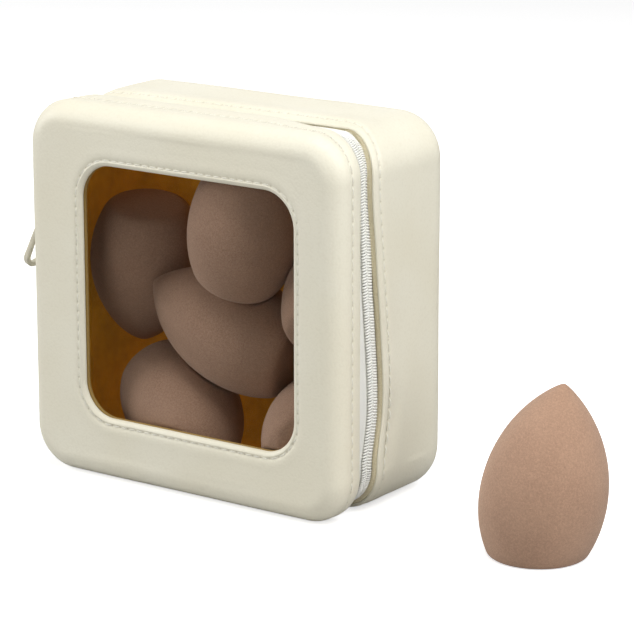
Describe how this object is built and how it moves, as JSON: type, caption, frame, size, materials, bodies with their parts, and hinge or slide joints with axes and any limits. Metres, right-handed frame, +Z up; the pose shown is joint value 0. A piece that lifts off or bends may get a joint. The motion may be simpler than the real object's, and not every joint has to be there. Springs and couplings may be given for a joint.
{
  "type": "makeup sponge set in a zip case",
  "caption": "Square soft zip case with a clear window in its lid, packed with drop-shaped makeup sponges, and one more sponge standing beside it.",
  "frame": {"origin": "on the table, under the middle of the case", "axes": "+Z up, -Y out of the window face, +X to the right as seen from the window, where the loose sponge stands"},
  "size_m": [0.2236, 0.0622, 0.1253],
  "materials": {
    "case_cloth": "fine grained, satin",
    "case_foam": "matte foam",
    "lining_cloth": "matte with a fine golden sheen",
    "zip_tape": "woven",
    "zip_coil": "satin",
    "zip_metal": "satin",
    "thread": "twisted thread",
    "clear_sheet": "clear, glossy, flexible",
    "pull_metal": "cream enamel, satin",
    "sponge_foam": "matte velvety foam"
  },
  "bodies": {
    "tub": {"tub_skin": "case_cloth", "tub_core": "case_foam", "tub_lining": "lining_cloth", "tub_zip_tape": "zip_tape", "tub_zip_coil": "zip_coil", "tub_zip_stops": "zip_metal", "tub_seam_stitches": "thread", "tub_hinge_leaf": "zip_tape", "sponge_top_left": "sponge_foam", "sponge_top_right": "sponge_foam", "sponge_middle": "sponge_foam", "sponge_bottom_left": "sponge_foam", "sponge_right": "sponge_foam", "sponge_bottom_right": "sponge_foam"},
    "lid": {"lid_skin": "case_cloth", "lid_core": "case_foam", "lid_lining": "lining_cloth", "window_pane": "clear_sheet", "window_stitches": "thread", "lid_zip_tape": "zip_tape", "lid_zip_coil": "zip_coil", "lid_zip_stops": "zip_metal", "lid_seam_stitches": "thread", "lid_hinge_leaf": "zip_tape"},
    "slider": {"zip_slider": "pull_metal"},
    "pull": {"pull_tab": "pull_metal"},
    "loose": {"loose_sponge": "sponge_foam"}
  },
  "joints": [
    {"name": "lid_hinge", "type": "hinge", "parent": "tub", "child": "lid", "pos_m": [0, -0.0114, 0.0024], "axis": [1, 0, 0], "range_deg": [0, 130]},
    {"name": "slider_run", "type": "slide", "parent": "tub", "child": "slider", "axis": [0, 0, 1], "range_m": [-0.0575, 0.013]},
    {"name": "pull_swing", "type": "hinge", "parent": "slider", "child": "pull", "pos_m": [-0.06595, -0.0114, 0.092], "axis": [0, 1, 0], "range_deg": [-23, 145]},
    {"name": "loose_lift", "type": "slide", "parent": "tub", "child": "loose", "axis": [0, 0, 1], "range_m": [0, 0.15]}
  ]
}
